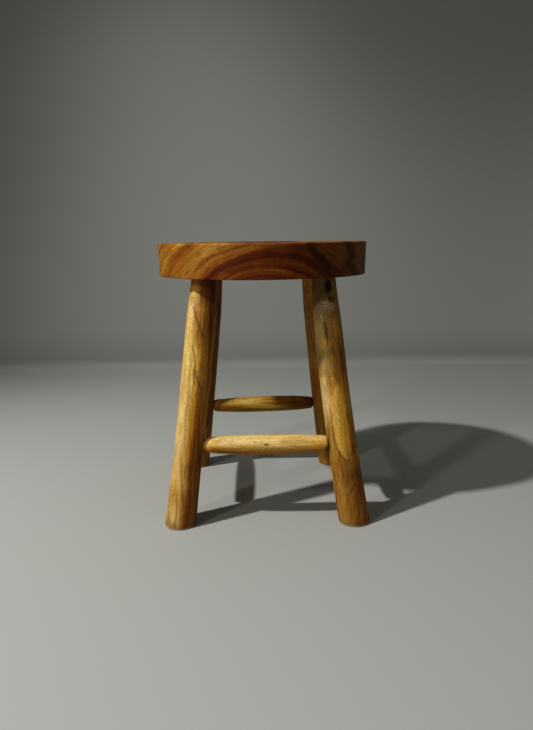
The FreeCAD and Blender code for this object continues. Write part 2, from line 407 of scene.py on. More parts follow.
# In millimetres: seed, radii at the foot, a third up, at the shoulder and at the neck, then how far the foot,
# the middle and the neck stray in local X and Y.
# A dent is (degrees from local X, height, half width, half height, depth).
LEG_SHAPES = {
    "front_left": LegShape(11, (21.1, 19.6, 19.4, 16.7), (1.0, 0), (1.6, 0), (1.2, 0), [
        (-96, 300, 7, 5, 0.5),
        (-70, 78, 6, 9, 0.5),
    ]),
    "front_right": LegShape(23, (21.3, 20.1, 19.0, 16.4), (-0.3, -1.8), (-3.4, 0), (-1.0, 0), [
        (-82, 326, 5.5, 9, 1.3),
        (-114, 266, 0.9, 12, 1.6),
        (-128, 240, 0.7, 9, 1.1),
        (-160, 170, 7, 40, 0.8),
    ]),
    "back_left": LegShape(37, (22.2, 21.0, 20.0, 17.2), (3.0, 0), (0.9, 0), (2.4, 0)),
    "back_right": LegShape(53, (21.8, 20.4, 19.4, 16.6), (-2.6, -2.6), (-0.9, 0), (-1.2, 0)),
}


def leaning_place(x, y, level, matrix):
    """The local place at this level above the floor; near the seat's top it follows the wear there."""
    tilt_x, tilt_y, rise = matrix[2][:3]
    if level > SEAT_TOP - WORN_DEPTH:
        level += seat_top_level(*(matrix @ Vector((x, y, level / rise))).xy) - SEAT_TOP
    return x, y, (level - x * tilt_x - y * tilt_y) / rise


def make_leg(place):
    """A tapered, faceted leg from a level sole to a tenon end flush with the seat's top."""
    foot, direction = leg_ends(place)
    matrix = axis_frame(foot, direction, FRONT)
    shape = LEG_SHAPES[place]
    neck_level = SEAT_UNDERSIDE - NECK_GAP
    top_level = SEAT_TOP + TENON_PROUD

    path = [(0, 0, "leg")]
    path += [(reach, 0, "leg") for reach in steps(0, 0.9, 0.18)]
    path += [(0.925, 0, "leg"), (0.965, FOOT_CHAMFER * 0.35, "leg"), (0.99, FOOT_CHAMFER * 0.9, "leg")]
    path += [(1, level, "leg") for level in steps(FOOT_CHAMFER * 1.4, neck_level - 0.8 * MM, LEG_SPACING)]
    path += [(0.975, neck_level, "leg"), (0.99, neck_level, "tenon")]
    path += [(1, level, "tenon") for level in steps(neck_level, top_level - 0.9 * MM, TENON_SPACING)]
    path += [(0.985, top_level - 0.35 * MM, "tenon"), (0.95, top_level, "tenon")]
    path += [(reach, top_level, "tenon") for reach in steps(0.95, 0, 0.12)]

    def point(reach, level, part, angle):
        share = level / neck_level
        along = level / direction.z
        bend = Vector((0, 0))
        if part == "leg":
            bend = shape.bend(share)
            full = shape.plain_radius(share)
            x, y = on_round(full, angle)
            radius = shape.facets.radius(full, along, angle)
            radius += uneven(x, y, along, shape.seed, LEG_WAVES)
            radius -= dent_depth(shape.dents, full, along, angle)
            radius *= reach
        else:
            radius = TENON_RADIUS * reach
        x, y = bend.x + radius * math.cos(angle), bend.y + radius * math.sin(angle)
        return leaning_place(x, y, level, matrix)

    leg = skin(f"leg_wood_{place}", path, LEG_SEGMENTS, point, matrix)
    side_x, side_y = LEG_PLACES[place]
    along_x = "stretcher_back" if side_y > 0 else "stretcher_front"
    along_y = "stretcher_right" if side_x > 0 else "stretcher_left"
    return cut(leg, [
        wedge_skin(place, KERF_GAP, KERF_OVERHANG, KERF_ABOVE),
        make_mortise_cutter(along_x, Vector((side_x, 0, 0))),
        make_mortise_cutter(along_y, Vector((0, side_y, 0))),
    ])


def make_mortise_cutter(stretcher, outward):
    """The blind hole that takes a stretcher's tenon."""
    low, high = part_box(stretcher)
    reach = (high - low).dot(Vector(map(abs, outward))) / 2
    matrix = axis_frame(middle(stretcher), outward, UP)
    radius = STRETCHER_TENON_RADIUS + STRETCHER_TENON_GAP
    return rod("mortise", radius, reach - MORTISE_LENGTH, reach, MORTISE_SEGMENTS, matrix)


# -------- wedges


def wedge_skin(place, spread, overhang, above):
    """A wedge along X in the tenon: its two faces taper down, and its ends follow the tenon's round."""
    foot, direction = leg_ends(place)
    matrix = axis_frame(foot, direction, FRONT)
    top = SEAT_TOP + above
    bottom = SEAT_TOP - WEDGE_DEPTH - spread

    path = [(0, bottom)]
    path += [(reach, bottom) for reach in (0.5, 0.97)]
    path += [(1, level) for level in steps(bottom, top - 0.3 * MM, WEDGE_SPACING)]
    path += [(0.97, top - 0.08 * MM), (0.9, top), (0.6, top), (0.3, top), (0, top)]

    def point(reach, level, angle):
        share = (level - bottom) / (SEAT_TOP - bottom)
        half = WEDGE_TIP_HALF + (WEDGE_HALF - WEDGE_TIP_HALF) * share + spread
        flat = half / max(abs(math.sin(angle)), 1e-6)
        radius = min(TENON_RADIUS + overhang, flat) * reach
        return leaning_place(*round_point(radius, level, angle), matrix)

    return skin(f"wedge_wood_{place}", path, WEDGE_SEGMENTS, point, matrix)


# -------- stretchers

# seed, bow sideways and upwards, lift of each end, and the outline as (distance from the middle, radius), all
# but the seed in millimetres
STRETCHER_SHAPES = {
    "front": (5, (0, 0), (0.2, -1.7), [
        (-88, 4.6), (-85.5, 5.9), (-82.3, 7.8), (-78, 9.9), (-74, 11.0), (-58, 12.4), (-30, 13.5), (0, 13.8),
        (30, 13.6), (57, 13.0), (74, 12.4), (80, 11.8), (82.8, 11.0), (84.0, 9.0), (84.4, 6.0),
    ]),
    "back": (6, (0.5, 0), (-1.4, 2.1), [
        (-83.4, 6.0), (-82.6, 8.2), (-80.4, 9.7), (-76, 10.4), (-66, 10.9), (-36, 12.6), (5, 13.1),
        (46, 12.4), (74, 10.5), (81, 9.4), (83.4, 8.0), (84.2, 6.0),
    ]),
    "left": (7, (0.6, 0), (-0.6, 0.6), [
        (-86, 5.8), (-85, 8.6), (-82, 10.7), (-76, 11.6), (-40, 12.2), (0, 12.5), (40, 12.3), (74, 11.7),
        (81, 10.8), (84.5, 9.0), (85.8, 5.8),
    ]),
    "right": (8, (-0.5, 0), (0.5, -0.4), [
        (-85.6, 5.8), (-84.4, 8.8), (-81, 10.8), (-74, 11.8), (-38, 12.5), (0, 12.7), (40, 12.2), (74, 11.6),
        (81, 10.6), (84.6, 8.6), (85.8, 5.8),
    ]),
}
# rings stand this many millimetres apart along the tenon, nose, belly, nose and tenon
STRETCHER_SPACINGS = [2, 0.35, 1.3, 0.35, 2]
NOSE = 5 * MM
TENON_ROUNDING = 0.5 * MM
TENON_SHORTFALL = 0.6 * MM
STRETCHER_AXES = {
    "front": (Vector((1, 0, 0)), FRONT),
    "back": (Vector((1, 0, 0)), FRONT),
    "left": (Vector((0, 1, 0)), Vector((-1, 0, 0))),
    "right": (Vector((0, 1, 0)), Vector((1, 0, 0))),
}


def curve_through(points, place):
    """A smooth outline through the points that never overshoots them (a monotone cubic)."""
    place = min(max(place, points[0][0]), points[-1][0])
    slopes = [(b[1] - a[1]) / (b[0] - a[0]) for a, b in zip(points, points[1:])]
    number = next(number for number, end in enumerate(points[1:]) if place <= end[0])
    start, end = points[number:number + 2]
    first = tangent_slope(slopes[max(number - 1, 0)], slopes[number])
    last = tangent_slope(slopes[number], slopes[min(number + 1, len(slopes) - 1)])
    width = end[0] - start[0]
    share = (place - start[0]) / width
    rest = 1 - share
    height = start[1] * rest * rest * (1 + 2 * share) + end[1] * share * share * (3 - 2 * share)
    return height + width * share * rest * (first * rest - last * share)


def tangent_slope(before, after):
    """A slope between its neighbours, level where the outline turns over."""
    if before * after <= 0:
        return 0
    return 2 * before * after / (before + after)


def make_stretcher(place):
    """A whittled spindle: a long belly, uneven noses and thin tenons into the legs."""
    node = f"stretcher_{place}"
    direction, facing = STRETCHER_AXES[place]
    seed, bow, lift, outline = STRETCHER_SHAPES[place]
    low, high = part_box(node)
    half = (high - low).dot(direction) / 2 - TENON_SHORTFALL
    matrix = axis_frame(middle(node), direction, facing)
    to_local = matrix.to_3x3().inverted()
    rise = to_local @ UP
    aside = to_local @ -facing
    facets = Facets(seed, 9, 0.5 * MM)
    outline = [(distance * MM, radius * MM) for distance, radius in outline]

    first, last = outline[0][0], outline[-1][0]
    stations = [-half + TENON_ROUNDING, first, first + NOSE, last - NOSE, last, half - TENON_ROUNDING]
    path = [(0, -half), (0.6, -half), (0.95, -half), (1, stations[0])]
    for start, end, spacing in zip(stations, stations[1:], STRETCHER_SPACINGS):
        path += [(1, along) for along in steps(start, end, spacing * MM)]
    path += [(0.95, half), (0.6, half), (0, half)]

    def point(reach, along, angle):
        full = curve_through(outline, along)
        belly = smooth(6.5 * MM, 10 * MM, full)
        x, y = on_round(full, angle)
        radius = full + belly * (facets.radius(full, along, angle) - full)
        radius = (radius + belly * uneven(x, y, along, seed, STRETCHER_WAVES)) * reach
        share = along / half
        arch = 1 - share * share
        slant = lift[0] + (lift[1] - lift[0]) * (share + 1) / 2
        bend = MM * (aside * bow[0] * arch + rise * (bow[1] * arch + slant))
        return bend.x + radius * math.cos(angle), bend.y + radius * math.sin(angle), along

    return skin(f"stretcher_wood_{place}", path, STRETCHER_SEGMENTS, point, matrix)


# -------- marks in the wood

# Each stroke is (strength, points). A point is (distance round the piece from its front at a radius of
# ROUND_SCALE, height along the grain), in millimetres.
LEG_STROKES = {
    "front_left": [
        (1.2, [(-12, 300), (-9, 295), (-4, 286)]),
        (1.7, [(-4, 286), (-2, 281), (1, 277), (4, 272), (7, 263)]),
        (0.6, [(-16, 262), (-13, 253), (-9, 247), (-6, 246), (-4, 249)]),
        (0.5, [(1, 246), (1, 249), (3, 251), (5, 250), (6, 247), (4, 245), (1, 246)]),
        (1.2, [(-5, 246), (-1, 238), (1, 229), (2, 222)]),
        (1.6, [(2, 222), (2, 217), (4, 211), (6, 205), (10, 196), (12, 191)]),
        (1.2, [(0, 216), (2, 204), (4, 196)]),
        (1, [(5, 91), (2, 84), (1, 77), (3, 70), (7, 67), (10, 71), (10, 79), (8, 87), (5, 91)]),
        (0.6, [(5, 84), (5, 77), (7, 72)]),
        (0.6, [(12, 88), (13, 80), (17, 74)]),
        (0.5, [(3, 46), (5, 51), (9, 53)]),
    ],
    "front_right": [
        (2.4, [(-9, 276), (-8, 265), (-8, 257)]),
        (1.2, [(-8, 257), (-8, 247)]),
        (0.9, [(2, 318), (2, 311), (2, 303)]),
        (0.5, [(-16, 214), (-12, 208), (-10, 202), (-6, 206), (-3, 216)]),
        (1.2, [(-14, 137), (-13, 121), (-12, 108)]),
        (1.8, [(-12, 108), (-8, 98), (-4, 91), (-1, 88)]),
        (0.6, [(5, 88), (8, 80), (9, 66)]),
    ],
}
# pale scratches in the grey top of the front right leg
SCRATCHES = [
    (1.3, [(-9, 304), (-5, 302), (-1, 303)]),
    (1, [(-8, 299), (-3, 298), (2, 299)]),
    (0.9, [(-6, 295), (0, 294), (4, 296)]),
    (0.8, [(3, 303), (5, 300)]),
    (1.6, [(-12.5, 287), (-12, 279)]),
    (0.8, [(-11.5, 279), (-10, 266), (-10, 256)]),
    (0.8, [(-9, 243), (-9, 236)]),
]
# the outline of the golden tongue on the front right leg
TONGUE = [
    (-10, 204), (-14, 198), (-16, 190), (-15, 178), (-16, 166), (-13, 155), (-13, 136), (-13, 121),
    (-12, 108), (-8, 99), (-4, 92), (-1, 91), (4, 98), (7, 109), (7, 124), (6, 140), (6, 159), (5, 172),
    (3, 182), (0, 192), (-4, 201), (-7, 206), (-8, 201),
]
# the dark streaks across the seat's front rim, as (distance to the right, level) in millimetres
RIM_STREAKS = [
    (1, [(57, 378), (62, 370), (70, 361), (78, 353), (82, 346)]),
    (0.6, [(110, 379), (114, 370), (117, 360)]),
    (0.5, [(112, 352), (121, 341), (128, 336)]),
]
ROUND_SCALE = 20
FAR = 30.0
FLAMES_PER_LEG = 13
FLAMES_FROM_FRONT = 60
FLAMES_TO = 330
HALF_ROUND = 62
DRAWN_HALF = 24
DRAWN_CLEARANCE = 26
STREAK_REACH = 8
STREAK_FADE = 0.22


def flame_strokes(seed, low):
    """Wandering dark figure lines at chance places all round a leg, some of them bent into a V.

    Where low is above the floor, they keep clear of the front, which has its own drawn strokes.
    """
    chance = random.Random(seed)
    strokes = []
    for _ in range(FLAMES_PER_LEG):
        across = chance.uniform(-HALF_ROUND, HALF_ROUND)
        if abs(across) < DRAWN_HALF and low > 0:
            across += math.copysign(DRAWN_CLEARANCE, across)
        height = chance.uniform(low, FLAMES_TO)
        lean = chance.choice((-1, 1)) * chance.uniform(0.1, 0.55)
        line = [(across, height)]
        for _ in range(chance.randint(4, 9)):
            lean = max(-0.8, min(0.8, lean + chance.uniform(-0.35, 0.35)))
            fall = chance.uniform(5, 13)
            across += lean * fall
            height -= fall
            line.append((across, height))
        strokes.append((chance.uniform(0.25, 0.95), line))
        if chance.random() < 0.4:
            start_x, start_y = line[0]
            side = chance.uniform(0.2, 0.5)
            branch = [(start_x, start_y)]
            branch += [(start_x - (x - start_x) * side - 2, y - 2) for x, y in line[1:5]]
            strokes.append((chance.uniform(0.25, 0.7), branch))
    return strokes


def stroke_distance(across, height, strokes, around=0):
    """Distance in millimetres to the nearest stroke; a weak stroke counts as a little further away."""
    nearest = np.full(len(across), FAR)
    for strength, line in strokes:
        for (x0, y0), (x1, y1) in zip(line, line[1:]):
            dx, dy = across - x0, height - y0
            if around:
                dx = (dx + around / 2) % around - around / 2
            run, rise = x1 - x0, y1 - y0
            share = np.clip((dx * run + dy * rise) / (run * run + rise * rise), 0, 1)
            distance = np.hypot(dx - share * run, dy - share * rise) + 0.8 * (1 - strength)
            nearest = np.minimum(nearest, distance)
    return nearest


def inside_distance(across, height, outline):
    """Distance in millimetres to a closed outline, positive inside it."""
    ring = list(zip(outline, outline[1:] + outline[:1]))
    inside = np.zeros(len(across), dtype=bool)
    for (x0, y0), (x1, y1) in ring:
        if y0 != y1:
            crossing = x0 + (height - y0) * (x1 - x0) / (y1 - y0)
            inside ^= ((y0 > height) != (y1 > height)) & (across < crossing)
    distance = stroke_distance(across, height, [(1, outline + outline[:1])])
    return np.where(inside, distance, -distance)


def local_points(piece):
    """The piece's vertices in millimetres on its own axes, as rows of X, Y and Z."""
    points = np.empty(len(piece.data.vertices) * 3)
    piece.data.vertices.foreach_get("co", points)
    return points.reshape(-1, 3).T / MM


def store(piece, name, values):
    """Keep a number for each vertex, for the material to read."""
    attribute = piece.data.attributes.new(name, "FLOAT", "POINT")
    attribute.data.foreach_set("value", values.astype(np.float32))


def mark_leg(piece, place):
    """Store how far each vertex is from the leg's strokes, from the floor, and from the tongue's outline."""
    x, y, along = local_points(piece)
    across = np.arctan2(x, -y) * ROUND_SCALE
    lowest = FLAMES_FROM_FRONT if place.startswith("front") else 0
    strokes = LEG_STROKES.get(place, []) + flame_strokes(LEG_SHAPES[place].seed, lowest)
    store(piece, "stroke", stroke_distance(across, along, strokes, FULL_TURN * ROUND_SCALE))
    tilt_x, tilt_y, rise, lift = piece.matrix_world[2]
    store(piece, "sole", tilt_x * x + tilt_y * y + rise * along + lift / MM)
    if place == "front_right":
        store(piece, "tongue", inside_distance(across, along, TONGUE))
        store(piece, "scratch", stroke_distance(across, along, SCRATCHES))


def mark_seat(piece):
    """Store the distance to the dark streaks on the front rim, which thin out across the top."""
    x, level, depth = local_points(piece)
    inward = SEAT_RADIUS / MM - np.hypot(x, depth)
    fade = np.clip(inward - STREAK_REACH, 0, None) * STREAK_FADE
    streaks = stroke_distance(-x, level, RIM_STREAKS) + fade
    store(piece, "stroke", np.where(depth < 0, streaks, FAR))


# -------- materials


class Graph:
    """Adds shader nodes to a material and links them."""

    def __init__(self, name):
        self.material = bpy.data.materials.new(name)
        self.material.use_nodes = True
        self.tree = self.material.node_tree
        self.tree.nodes.clear()

    def node(self, kind, inputs=None, **settings):
        made = self.tree.nodes.new(kind)
        for key, setting in settings.items():
            setattr(made, key, setting)
        for key, value in (inputs or {}).items():
            if isinstance(value, bpy.types.NodeSocket):
                self.tree.links.new(value, made.inputs[key])
            else:
                made.inputs[key].default_value = value
        return made

    def math(self, operation, *values, clamp=False):
        inputs = dict(enumerate(values))
        return self.node("ShaderNodeMath", inputs, operation=operation, use_clamp=clamp).outputs[0]

    def scaled(self, value, times, more):
        return self.math("MULTIPLY_ADD", value, times, more)

    def layered(self, start, *parts):
        """The start and every part times its share, added up."""
        for value, share in parts:
            start = self.scaled(value, share, start)
        return start

    def overlap(self, *masks):
        """A mask that is full only where all of these are."""
        whole = masks[0]
        for mask in masks[1:]:
            whole = self.math("MULTIPLY", whole, mask)
        return whole

    def vector(self, operation, *values, output=0):
        inputs = dict(enumerate(values))
        return self.node("ShaderNodeVectorMath", inputs, operation=operation).outputs[output]

    def split(self, vector):
        return self.node("ShaderNodeSeparateXYZ", {0: vector}).outputs[:3]

    def object_place(self):
        return self.node("ShaderNodeTexCoord").outputs["Object"]

    def noise(self, place, scale, detail=3, roughness=0.6, distortion=0, output=0):
        inputs = {"Vector": place, "Scale": scale, "Detail": detail, "Roughness": roughness}
        inputs["Distortion"] = distortion
        return self.node("ShaderNodeTexNoise", inputs).outputs[output]

    def rise(self, value, low, high):
        """0 below low and 1 above high with a soft step between, or the other way round if low is higher."""
        inputs = {"Value": value, "From Min": low, "From Max": high, "To Min": 0, "To Max": 1}
        return self.node("ShaderNodeMapRange", inputs, interpolation_type="SMOOTHSTEP").outputs[0]

    def attribute(self, name):
        return self.node("ShaderNodeAttribute", attribute_name=name).outputs["Fac"]

    def tones(self, value, stops):
        """Colours along stops of (position, colour)."""
        made = self.node("ShaderNodeValToRGB", {"Fac": value})
        elements = made.color_ramp.elements
        while len(elements) < len(stops):
            elements.new(0.5)
        for element, (position, colour) in zip(elements, stops):
            element.position = position
            element.color = (*colour, 1)
        return made.outputs["Color"]

    def mix(self, factor, first, second, blend="MIX"):
        inputs = {0: factor}
        for key, colour in ((6, first), (7, second)):
            inputs[key] = (*colour, 1) if isinstance(colour, tuple) else colour
        return self.node("ShaderNodeMix", inputs, data_type="RGBA", blend_type=blend).outputs[2]

    def surface(self, inputs):
        """Close the material with one shader that has these inputs."""
        shader = self.node("ShaderNodeBsdfPrincipled", inputs)
        self.node("ShaderNodeOutputMaterial", {"Surface": shader.outputs[0]})
        return self.material


FIBRE_SHARE = 0.5
PORE_SHARE = 0.45
FLECK_SHARE = 0.45
BUMP_STRENGTH = 0.6
BUMP_HEIGHT = 0.35 * MM
# how far each part of the figure stands out of the surface, or lies in it
RELIEF = {"fibre": 0.5, "hair": 0.25, "grain": 0.45, "contour": -0.25, "pores": -0.6}
GROOVE_RELIEF = -0.9
TOOLING_RELIEF = 1.5


class Wood(Graph):
    """Solid wood about local Z: growth rings round a pith, fibres, pores, streaks and patina.

    The rings run round a pith that leans by tilt. ring sets their spacing, wander and wave how far and how
    slowly they stray, and flow how long their layers run. The seam lies on the side away from seen_from. bias
    makes the tone paler, and the other numbers say how much each part of the figure shows.
    """

    def __init__(self, name, tones, pith, tilt=(0, 0), ring=3, wander=4, wave=34, jag_size=1.3, strata=0.9,
                 streaks=0.5, threads=0.5, blotches=0.35, lines=0.5, flow=9, seen_from=(0, 0), bias=0):
        super().__init__(name)
        self.tone_stops = tones
        self.deep = tones[0][1]
        self.lines = lines
        self.stains = []
        self.place = self.vector("MULTIPLY", self.object_place(), (1 / MM,) * 3)
        self.x, self.y, self.z = self.split(self.place)
        waves = self.figure(3.4, 1 / wave, 2, 0.45, output="Color")
        waves = self.split(self.vector("SUBTRACT", waves, (0.5, 0.5, 0.5)))
        across = []
        for number, axis in enumerate((self.x, self.y)):
            offset = self.math("SUBTRACT", axis, self.scaled(self.z, tilt[number], pith[number]))
            across.append(self.scaled(waves[number], wander * 2, offset))
        squares = self.math("MULTIPLY", across[1], across[1])
        radius = self.math("SQRT", self.scaled(across[0], across[0], squares))
        self.radius = self.scaled(self.math("SUBTRACT", self.figure(2, 0.3), 0.5), jag_size, radius)

        reach = math.dist(seen_from, pith)
        run, rise = (seen_from[0] - pith[0]) / reach, (seen_from[1] - pith[1]) / reach
        ahead = self.scaled(across[1], rise, self.math("MULTIPLY", across[0], run))
        aside = self.scaled(across[1], run, self.math("MULTIPLY", across[0], -rise))
        arc = self.math("MULTIPLY", self.math("ARCTAN2", aside, ahead), reach)
        layers = self.node("ShaderNodeCombineXYZ", {0: self.radius, 1: arc, 2: self.z}).outputs[0]
        layers = self.vector("MULTIPLY", layers, (1, 1 / flow, 1 / 30))
        self.strata = self.noise(layers, 0.6 / ring)
        contour = self.math("SUBTRACT", self.noise(layers, 0.4 / ring, 1, 0.5), 0.5)
        self.contour = self.rise(self.math("ABSOLUTE", contour), 0.022, 0.003)
        self.fibre = self.figure(24, 1.15)
        self.hair = self.figure(14, 3.2, 2)
        self.streak = self.figure(13, 0.16, 3, 0.55)
        self.thread = self.figure(15, 0.42, 2)
        self.blotch = self.figure(2.4, 1 / 26, 3, 0.55)
        self.grain = self.figure(1.6, 0.9, 3, 0.65)
        self.pores = self.rise(self.figure(8, 1.7, 1, 0.5), 0.63, 0.7)
        flecks = self.scaled(self.blotch, 0.25, self.figure(2, 0.55, 2, 0.6, 0.5))
        self.flecks = self.rise(flecks, 0.7, 0.79)

        level = 0.5 + bias - (strata + streaks + threads + blotches + FIBRE_SHARE) / 2
        self.tone = self.layered(
            level, (self.strata, strata), (self.streak, streaks), (self.thread, threads),
            (self.blotch, blotches), (self.fibre, FIBRE_SHARE),
        )

    def figure(self, times, *settings, **more):
        """Noise that runs this many times longer along the grain than across it."""
        return self.noise(self.vector("MULTIPLY", self.place, (1, 1, 1 / times)), *settings, **more)

    def shade(self, mask, amount):
        """Move the tone up or down where the mask is."""
        self.tone = self.scaled(mask, amount, self.tone)

    def tint(self, mask, colour, amount, blend="MIX"):
        """Ask for a colour over the wood where the mask is, for finish to lay on."""
        self.stains.append((mask, colour, amount, blend))

    def glaze(self, mask, colour, amount=1):
        """Ask for the wood's colour to be multiplied by this one where the mask is."""
        self.tint(mask, colour, amount, "MULTIPLY")

    def band(self, **ranges):
        """A mask over the wood past the soft step given for each of x, z and edge, a ragged kind of x."""
        values = {"x": self.x, "z": self.z}
        if "edge" in ranges:
            values["edge"] = self.scaled(self.thread, 5, self.x)
        return self.overlap(*(self.rise(values[name], *step) for name, step in ranges.items()))

    def roughened(self, distance, noise, ragged):
        """The distance, moved up or down by the noise."""
        return self.math("ADD", distance, self.scaled(noise, ragged * 4, -ragged * 2))

    def spot(self, centre, size, soft=0.35, ragged=0.25, scale=0.12, along=3):
        """A mask inside an ellipsoid of this size, in millimetres, with a ragged soft edge."""
        offset = self.vector("DIVIDE", self.vector("SUBTRACT", self.place, centre), size)
        distance = self.vector("LENGTH", offset, output="Value")
        return self.rise(self.roughened(distance, self.figure(along, scale), ragged), 1 + soft, 1 - soft)

    def stroke(self, name, width, ragged, scale=0.5):
        """A mask along the strokes stored on the mesh, this wide and with ragged edges."""
        noise = self.figure(1.5, scale, 3, 0.65)
        return self.rise(self.roughened(self.attribute(name), noise, ragged), width, width * 0.35)

    def finish(self, rough=(0.4, 0.6), coat=0.05, shine=0.22, groove=None):
        """The shader: tone into colour, stains, worn roughness, and relief from fibres, pores and tooling."""
        stains = [(self.contour, self.deep, self.lines, "MIX")] + self.stains
        stains.append((self.pores, tuple(part / 2 for part in self.deep), PORE_SHARE, "MIX"))
        stains.append((self.flecks, self.deep, FLECK_SHARE, "MIX"))
        colour = self.tones(self.tone, self.tone_stops)
        for mask, stain, amount, blend in stains:
            colour = self.mix(self.math("MULTIPLY", mask, amount), colour, stain, blend)
        fine = self.layered(0.5, (self.grain, 0.5), (self.hair, 0.5))
        colour = self.mix(1, colour, fine, "MULTIPLY")
        wear = self.noise(self.place, 1 / 16, 4)
        roughness = self.scaled(wear, rough[1] - rough[0], rough[0])
        roughness = self.math("MULTIPLY_ADD", self.pores, 0.2, roughness, clamp=True)
        parts = [(getattr(self, name), share) for name, share in RELIEF.items()]
        parts.append((self.figure(2.5, 0.22, 2, 0.5), TOOLING_RELIEF))
        if groove is not None:
            parts.append((groove, GROOVE_RELIEF))
        relief = {"Height": self.layered(0, *parts), "Strength": BUMP_STRENGTH, "Distance": BUMP_HEIGHT}
        return self.surface({
            "Base Color": colour, "Roughness": roughness, "Coat Weight": coat, "Coat Roughness": 0.3,
            "Specular IOR Level": shine, "Normal": self.node("ShaderNodeBump", relief).outputs[0],
        })


HONEY_TONES = [
    (0.00, (0.12, 0.032, 0.002)), (0.28, (0.29, 0.11, 0.008)), (0.52, (0.44, 0.25, 0.04)),
    (0.76, (0.56, 0.39, 0.125)), (1.00, (0.67, 0.52, 0.26)),
]
RUSSET_TONES = [
    (0.00, (0.06, 0.013, 0.001)), (0.28, (0.16, 0.048, 0.003)), (0.52, (0.27, 0.112, 0.01)),
    (0.76, (0.38, 0.2, 0.03)), (1.00, (0.48, 0.29, 0.07)),
]
SEAT_TONES = [
    (0.00, (0.045, 0.008, 0.0005)), (0.25, (0.105, 0.022, 0.0015)), (0.5, (0.19, 0.058, 0.005)),
    (0.75, (0.29, 0.135, 0.016)), (1.00, (0.42, 0.24, 0.05)),
]
NEAR_BLACK = (0.012, 0.006, 0.003)
STROKE_BROWN = (0.13, 0.055, 0.005)
OLIVE = (0.185, 0.125, 0.04)
PALE_GREY = (0.33, 0.27, 0.15)
PALE_BARK = (0.5, 0.37, 0.2)
WEDGE_DARKENING = 0.8
LEG_RADIUS = 19.5

# how much darker or lighter the seat's wood is at each distance from the pith, in millimetres
SEAT_RINGS = [
    (84, -0.33), (97, -0.2), (104, -0.31), (109, -0.22), (116, -0.4), (121, -0.27), (132, -0.04),
    (139, 0.05), (145, -0.03), (151, 0.04), (160, -0.1), (168, 0.06), (178, -0.02), (190, 0.02),
]


def on_leg(across, height):
    """The local place of a mark given round the leg and along it, in millimetres."""
    turn = across / ROUND_SCALE
    return LEG_RADIUS * math.sin(turn), -LEG_RADIUS * math.cos(turn), height


def seat_wood():
    """Flat-sawn slab: the pith lies below the seat, so rings arch over the front rim's end grain."""
    wood = Wood("seat_wood", SEAT_TONES, pith=(-3.5, 259), tilt=(0.03, 0.06), ring=2.6, wander=9, wave=75,
                jag_size=0.7, strata=1.15, streaks=0.2, threads=0.25, blotches=0.4, flow=22,
                seen_from=(0, 357), bias=0.12)
    low, high = SEAT_RINGS[0][0], SEAT_RINGS[-1][0]
    place = wood.scaled(wood.radius, 1 / (high - low), -low / (high - low))
    greys = [((radius - low) / (high - low), (0.5 + shift,) * 3) for radius, shift in SEAT_RINGS]
    wood.shade(wood.math("SUBTRACT", wood.tones(place, greys), 0.5), 1)
    # darker towards the front right: partly painted shade on the side away from the light, partly darker
    # stained wood
    right = wood.rise(wood.scaled(wood.blotch, 60, wood.x), 10, -60)
    right = wood.overlap(right, wood.band(z=(60, -90)))
    wood.shade(right, -0.18)
    wood.tint(right, (0.14, 0.04, 0.003), 0.4)
    wood.tint(wood.spot((-99, 361, -113), (8, 13, 30), 0.5, 0.3, 0.1, 1), (0.2, 0.115, 0.02), 0.45)
    wood.glaze(wood.rise(wood.radius, 132, 118), (0.92, 0.74, 0.6), 0.8)
    wood.tint(wood.stroke("stroke", 7, 2.5, 0.12), (0.024, 0.006, 0.001), 0.7)
    return wood.finish(rough=(0.42, 0.6), shine=0.13)


LEG_LOOKS = {
    "front_left": dict(pith=(26, 24), tilt=(-0.03, -0.06), bias=0.20),
    "front_right": dict(pith=(-14, 30), tilt=(0.02, -0.1), bias=0.02),
    "back_left": dict(pith=(20, -26), tilt=(0.04, 0.05), bias=-0.02),
    "back_right": dict(pith=(-24, -22), tilt=(-0.05, 0.04), bias=0.34),
}


def leg_wood(place):
    """The leg's own wood: strokes, a grubby foot, the marks of its place with painted light and shade among
    them, and a painted highlight and contact shadow at the sole.
    """
    front = place.startswith("front")
    wood = Wood(f"leg_wood_{place}", HONEY_TONES if front else RUSSET_TONES, ring=4.5, wander=8, streaks=0.75,
                threads=0.85, lines=0.4, **LEG_LOOKS[place])
    if place == "front_left":
        mark_front_left(wood)
    if place == "front_right":
        mark_front_right(wood)
    foot = wood.rise(wood.scaled(wood.blotch, 16, wood.z), 20, 7)
    wood.tint(foot, (0.13, 0.06, 0.012), 0.5)
    if place == "back_right":
        wood.glaze(1, (1.32, 1.14, 0.8))
        wood.glaze(wood.band(z=(190, 165)), (0.82, 0.72, 0.6))
        wood.glaze(wood.band(z=(70, 50)), (0.78, 0.84, 0.8))
    stroke = wood.stroke("stroke", 1.15, 0.95, 1)
    wood.tint(stroke, STROKE_BROWN, 0.7 if front else 0.4)
    # a pale ring as a painted highlight where the sole's chamfer catches the light, and a near-black painted
    # contact shadow at the very bottom
    sole = wood.scaled(wood.grain, 0.8, wood.attribute("sole"))
    wood.tint(wood.overlap(wood.rise(sole, 1.1, 1.6), wood.rise(sole, 3.2, 2.4)), (0.62, 0.46, 0.22), 0.6)
    wood.tint(wood.rise(sole, 1.4, 0.9), NEAR_BLACK, 0.8)
    return wood.finish(groove=stroke)


